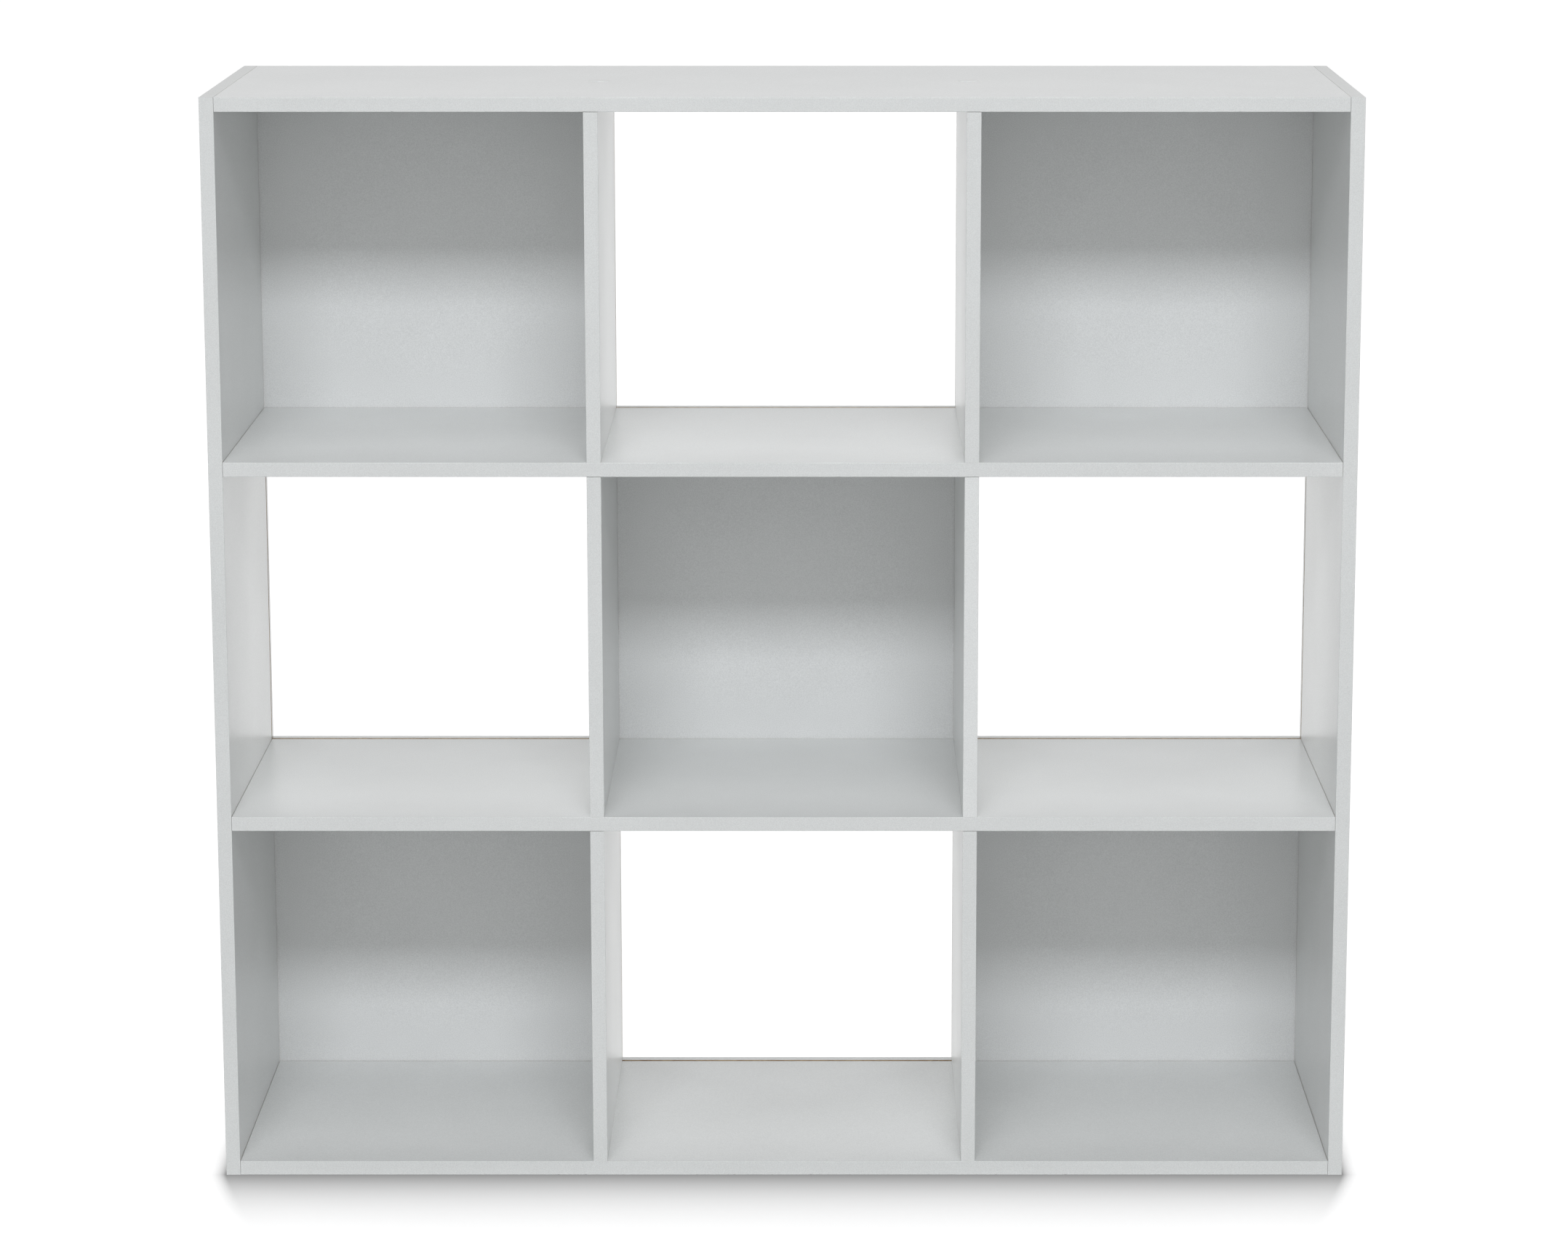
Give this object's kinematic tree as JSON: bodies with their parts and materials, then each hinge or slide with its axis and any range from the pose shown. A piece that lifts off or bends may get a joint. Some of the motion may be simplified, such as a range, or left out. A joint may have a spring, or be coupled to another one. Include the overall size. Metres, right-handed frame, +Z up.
{
  "type": "cube storage unit",
  "caption": "Open-fronted cube storage unit of butt-jointed white boards, with thin back panels in grooves behind alternate bays.",
  "frame": {"origin": "on the floor, at the middle of the footprint", "axes": "+Z up, +X to the right as seen from the front, the open front faces -Y"},
  "size_m": [0.9492, 0.295, 0.9156],
  "materials": {
    "white_board": "white melamine foil on particleboard, satin, with a fine grain",
    "edge_band": "white plastic banding, satin",
    "back_panel": "white foil on thin hardboard, satin",
    "dowel_wood": "bare beech",
    "screw_steel": "zinc plated",
    "cover_cap": "white moulded plastic, satin"
  },
  "bodies": {
    "root": {"back_panel_bottom_left": "back_panel", "back_panel_bottom_right": "back_panel", "back_panel_centre": "back_panel", "back_panel_top_left": "back_panel", "back_panel_top_right": "back_panel", "bottom_divider_left": "white_board", "bottom_divider_right": "white_board", "bottom_panel": "white_board", "bottom_panel_dowels": "dowel_wood", "bottom_panel_screws": "screw_steel", "front_band_bottom_divider_left": "edge_band", "front_band_bottom_divider_right": "edge_band", "front_band_bottom_panel": "edge_band", "front_band_lower_shelf": "edge_band", "front_band_middle_divider_left": "edge_band", "front_band_middle_divider_right": "edge_band", "front_band_side_left": "edge_band", "front_band_side_right": "edge_band", "front_band_top_divider_left": "edge_band", "front_band_top_divider_right": "edge_band", "front_band_top_panel": "edge_band", "front_band_upper_shelf": "edge_band", "lower_shelf": "white_board", "lower_shelf_dowels": "dowel_wood", "lower_shelf_screws": "screw_steel", "middle_divider_left": "white_board", "middle_divider_right": "white_board", "side_caps_left": "cover_cap", "side_caps_right": "cover_cap", "side_dowels_left": "dowel_wood", "side_dowels_right": "dowel_wood", "side_panel_left": "white_board", "side_panel_right": "white_board", "side_screws_left": "screw_steel", "side_screws_right": "screw_steel", "top_band_side_left": "edge_band", "top_band_side_right": "edge_band", "top_caps": "cover_cap", "top_divider_left": "white_board", "top_divider_right": "white_board", "top_panel": "white_board", "top_panel_dowels": "dowel_wood", "top_panel_screws": "screw_steel", "upper_shelf": "white_board", "upper_shelf_dowels": "dowel_wood", "upper_shelf_screws": "screw_steel"}
  },
  "joints": []
}
